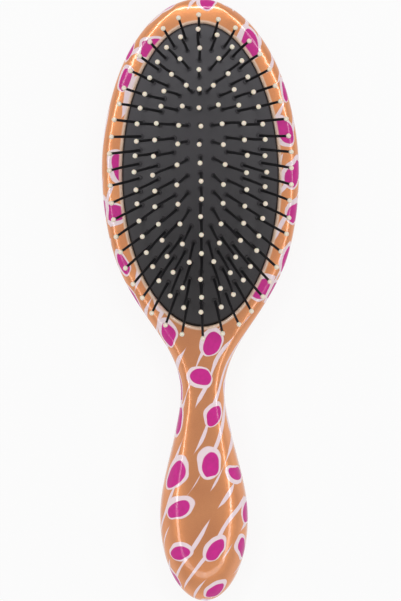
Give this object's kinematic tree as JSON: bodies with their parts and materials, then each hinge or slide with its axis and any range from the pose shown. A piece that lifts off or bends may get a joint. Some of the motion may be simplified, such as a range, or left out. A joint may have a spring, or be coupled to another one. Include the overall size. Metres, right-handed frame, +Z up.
{
  "type": "detangling brush",
  "caption": "Oval cushion hair brush with a waisted handle, a domed rubber pad that presses in, and splayed ball-tipped bristles that lean, for detangling hair.",
  "frame": {"origin": "on the resting plane under the back, at the middle of the overall length and width", "axes": "+X to the right across the head seen from the bristle side with the head up, +Y from the handle to the head's free end, +Z up out of the back through the bristles"},
  "size_m": [0.0746, 0.2286, 0.0415],
  "materials": {
    "printed_shell": "glossy copper lacquer with a plain printed pattern of rounded spots and thin lines over moulded plastic",
    "pad_rubber": "smooth satin black rubber",
    "inner_plastic": "plain moulded plastic, hidden inside",
    "bristle_nylon": "black nylon, slightly glossy",
    "tip_coating": "cream dipped beads, glossy"
  },
  "bodies": {
    "body": {"front_shell": "printed_shell", "back_shell": "printed_shell", "retaining_ring": "inner_plastic"},
    "pad": {"cushion": "pad_rubber"},
    "column_left_4": {"bristles_left_4": "bristle_nylon", "tips_left_4": "tip_coating"},
    "column_left_3": {"bristles_left_3": "bristle_nylon", "tips_left_3": "tip_coating"},
    "column_left_2": {"bristles_left_2": "bristle_nylon", "tips_left_2": "tip_coating"},
    "column_left_1": {"bristles_left_1": "bristle_nylon", "tips_left_1": "tip_coating"},
    "column_centre": {"bristles_centre": "bristle_nylon", "tips_centre": "tip_coating"},
    "column_right_1": {"bristles_right_1": "bristle_nylon", "tips_right_1": "tip_coating"},
    "column_right_2": {"bristles_right_2": "bristle_nylon", "tips_right_2": "tip_coating"},
    "column_right_3": {"bristles_right_3": "bristle_nylon", "tips_right_3": "tip_coating"},
    "column_right_4": {"bristles_right_4": "bristle_nylon", "tips_right_4": "tip_coating"}
  },
  "joints": [
    {"name": "pad_press", "type": "slide", "parent": "body", "child": "pad", "axis": [0, 0, 1], "range_m": [-0.004, 0], "stiffness_N_per_m": 900, "deforming": ["cushion"]},
    {"name": "lean_left_4", "type": "hinge", "parent": "pad", "child": "column_left_4", "pos_m": [-0.02173, 0.0484, 0.01794], "axis": [0, 1, 0], "range_deg": [-12, 12], "stiffness_Nm_per_rad": 0.002},
    {"name": "lean_left_3", "type": "hinge", "parent": "pad", "child": "column_left_3", "pos_m": [-0.01618, 0.0484, 0.01889], "axis": [0, 1, 0], "range_deg": [-12, 12], "stiffness_Nm_per_rad": 0.002},
    {"name": "lean_left_2", "type": "hinge", "parent": "pad", "child": "column_left_2", "pos_m": [-0.01098, 0.0484, 0.01954], "axis": [0, 1, 0], "range_deg": [-12, 12], "stiffness_Nm_per_rad": 0.002},
    {"name": "lean_left_1", "type": "hinge", "parent": "pad", "child": "column_left_1", "pos_m": [-0.00553, 0.0484, 0.01997], "axis": [0, 1, 0], "range_deg": [-12, 12], "stiffness_Nm_per_rad": 0.002},
    {"name": "lean_centre", "type": "hinge", "parent": "pad", "child": "column_centre", "pos_m": [0, 0.0484, 0.02017], "axis": [0, 1, 0], "range_deg": [-12, 12], "stiffness_Nm_per_rad": 0.002},
    {"name": "lean_right_1", "type": "hinge", "parent": "pad", "child": "column_right_1", "pos_m": [0.00553, 0.0484, 0.01997], "axis": [0, 1, 0], "range_deg": [-12, 12], "stiffness_Nm_per_rad": 0.002},
    {"name": "lean_right_2", "type": "hinge", "parent": "pad", "child": "column_right_2", "pos_m": [0.01098, 0.0484, 0.01954], "axis": [0, 1, 0], "range_deg": [-12, 12], "stiffness_Nm_per_rad": 0.002},
    {"name": "lean_right_3", "type": "hinge", "parent": "pad", "child": "column_right_3", "pos_m": [0.01618, 0.0484, 0.01889], "axis": [0, 1, 0], "range_deg": [-12, 12], "stiffness_Nm_per_rad": 0.002},
    {"name": "lean_right_4", "type": "hinge", "parent": "pad", "child": "column_right_4", "pos_m": [0.02173, 0.0484, 0.01794], "axis": [0, 1, 0], "range_deg": [-12, 12], "stiffness_Nm_per_rad": 0.002}
  ],
  "couplings": [
    {"joint": "lean_left_4", "follows": "lean_centre", "ratio": 1},
    {"joint": "lean_left_3", "follows": "lean_centre", "ratio": 1},
    {"joint": "lean_left_2", "follows": "lean_centre", "ratio": 1},
    {"joint": "lean_left_1", "follows": "lean_centre", "ratio": 1},
    {"joint": "lean_right_1", "follows": "lean_centre", "ratio": 1},
    {"joint": "lean_right_2", "follows": "lean_centre", "ratio": 1},
    {"joint": "lean_right_3", "follows": "lean_centre", "ratio": 1},
    {"joint": "lean_right_4", "follows": "lean_centre", "ratio": 1}
  ]
}
